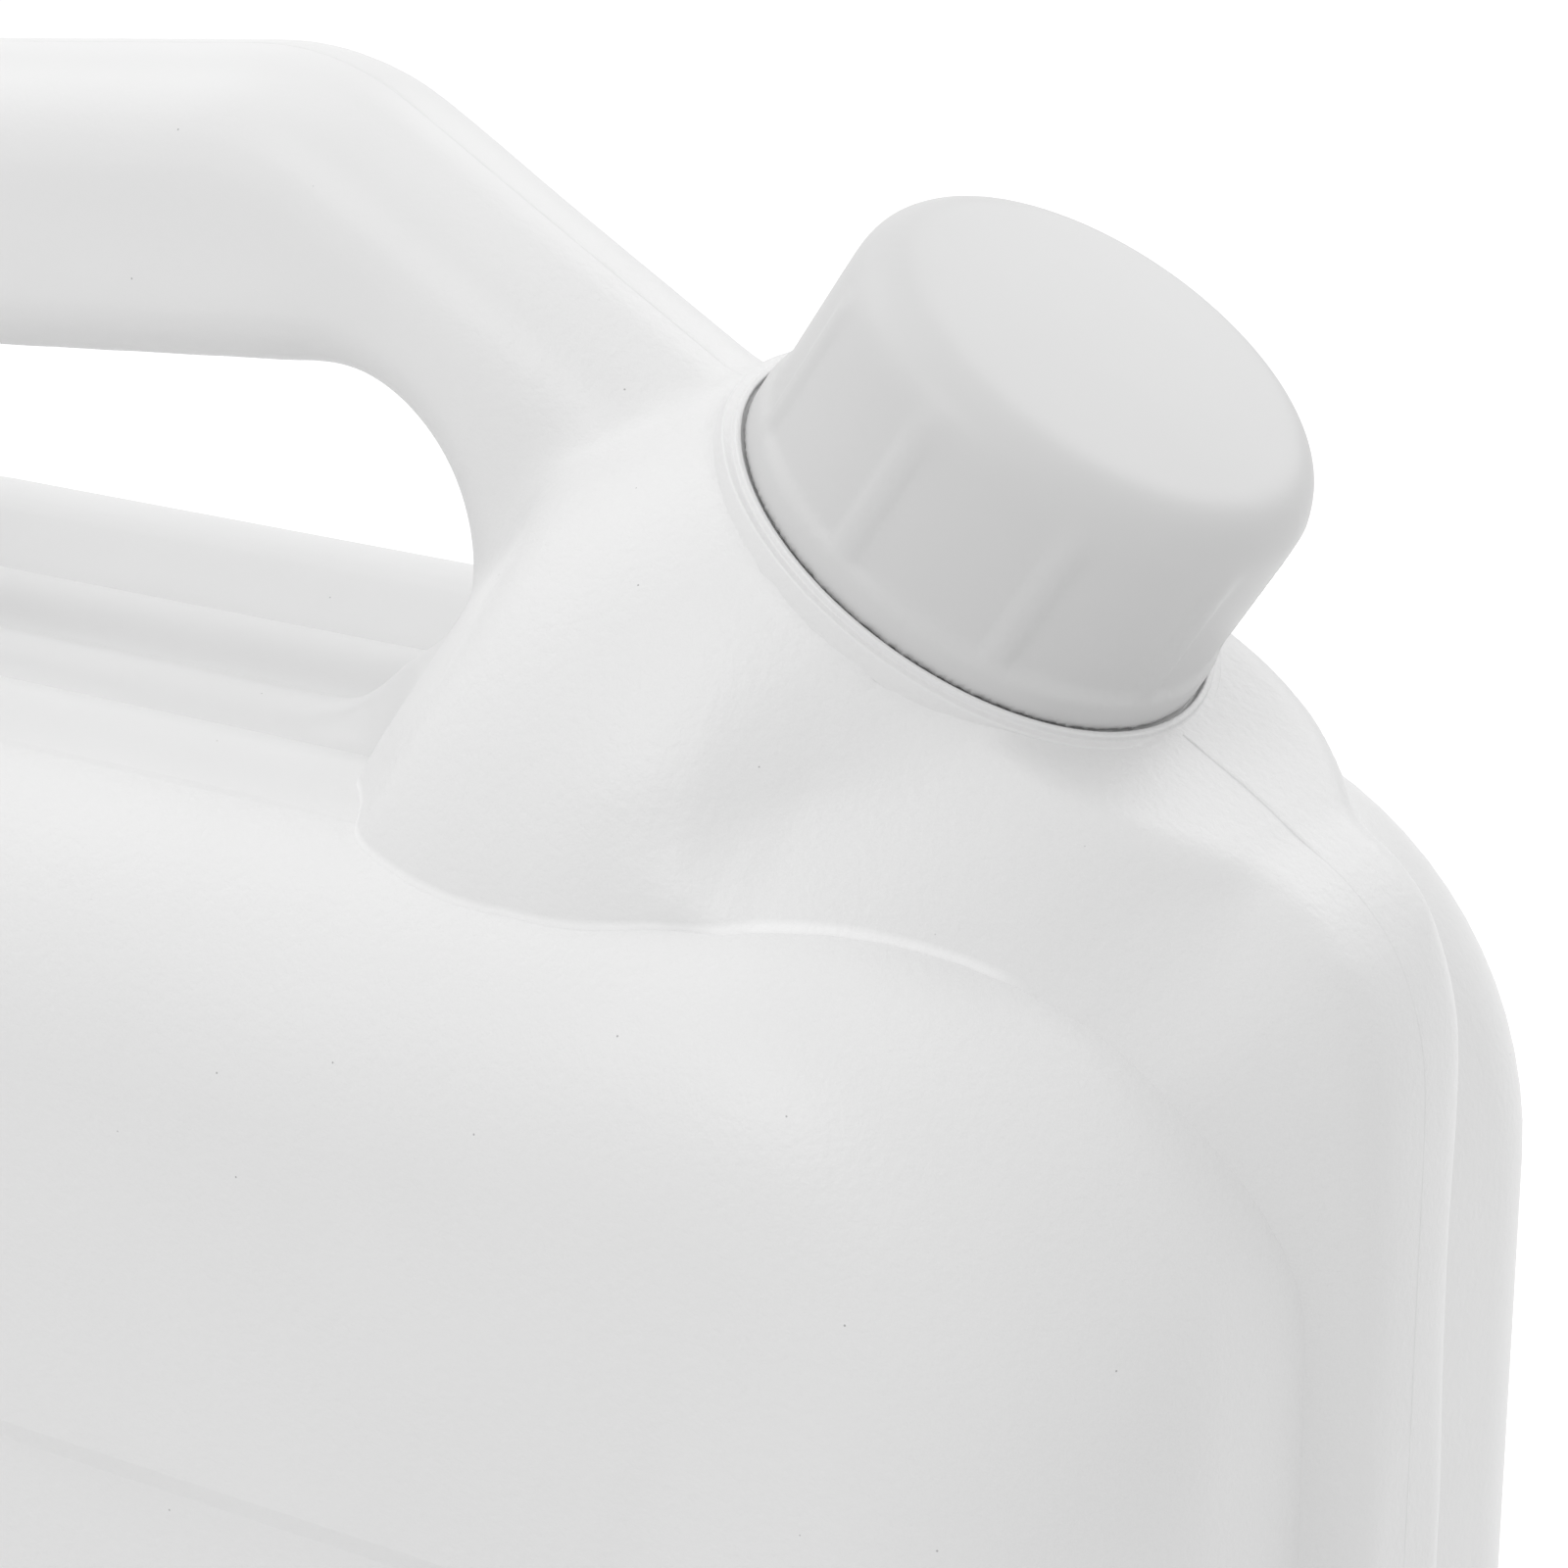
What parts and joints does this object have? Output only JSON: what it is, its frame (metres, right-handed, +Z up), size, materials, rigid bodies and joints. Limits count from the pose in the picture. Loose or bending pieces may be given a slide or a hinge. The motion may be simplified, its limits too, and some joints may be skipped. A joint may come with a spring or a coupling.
{
  "type": "plastic jug",
  "caption": "Plain white blow-moulded jug with a hollow top handle, two full body halves beside a raised spine, a tilted neck on a bell and a ribbed screw cap",
  "frame": {"origin": "middle of the base, on the ground", "axes": "+Z up, +X towards the neck and cap, +Y across the jug, from one wide face to the other"},
  "size_m": [0.24, 0.112, 0.2962],
  "materials": {
    "jug": "white polyethylene, finely grained, soft sheen",
    "cap": "white plastic, smooth satin"
  },
  "bodies": {
    "root": {"jug": "jug", "cap": "cap"}
  },
  "joints": []
}
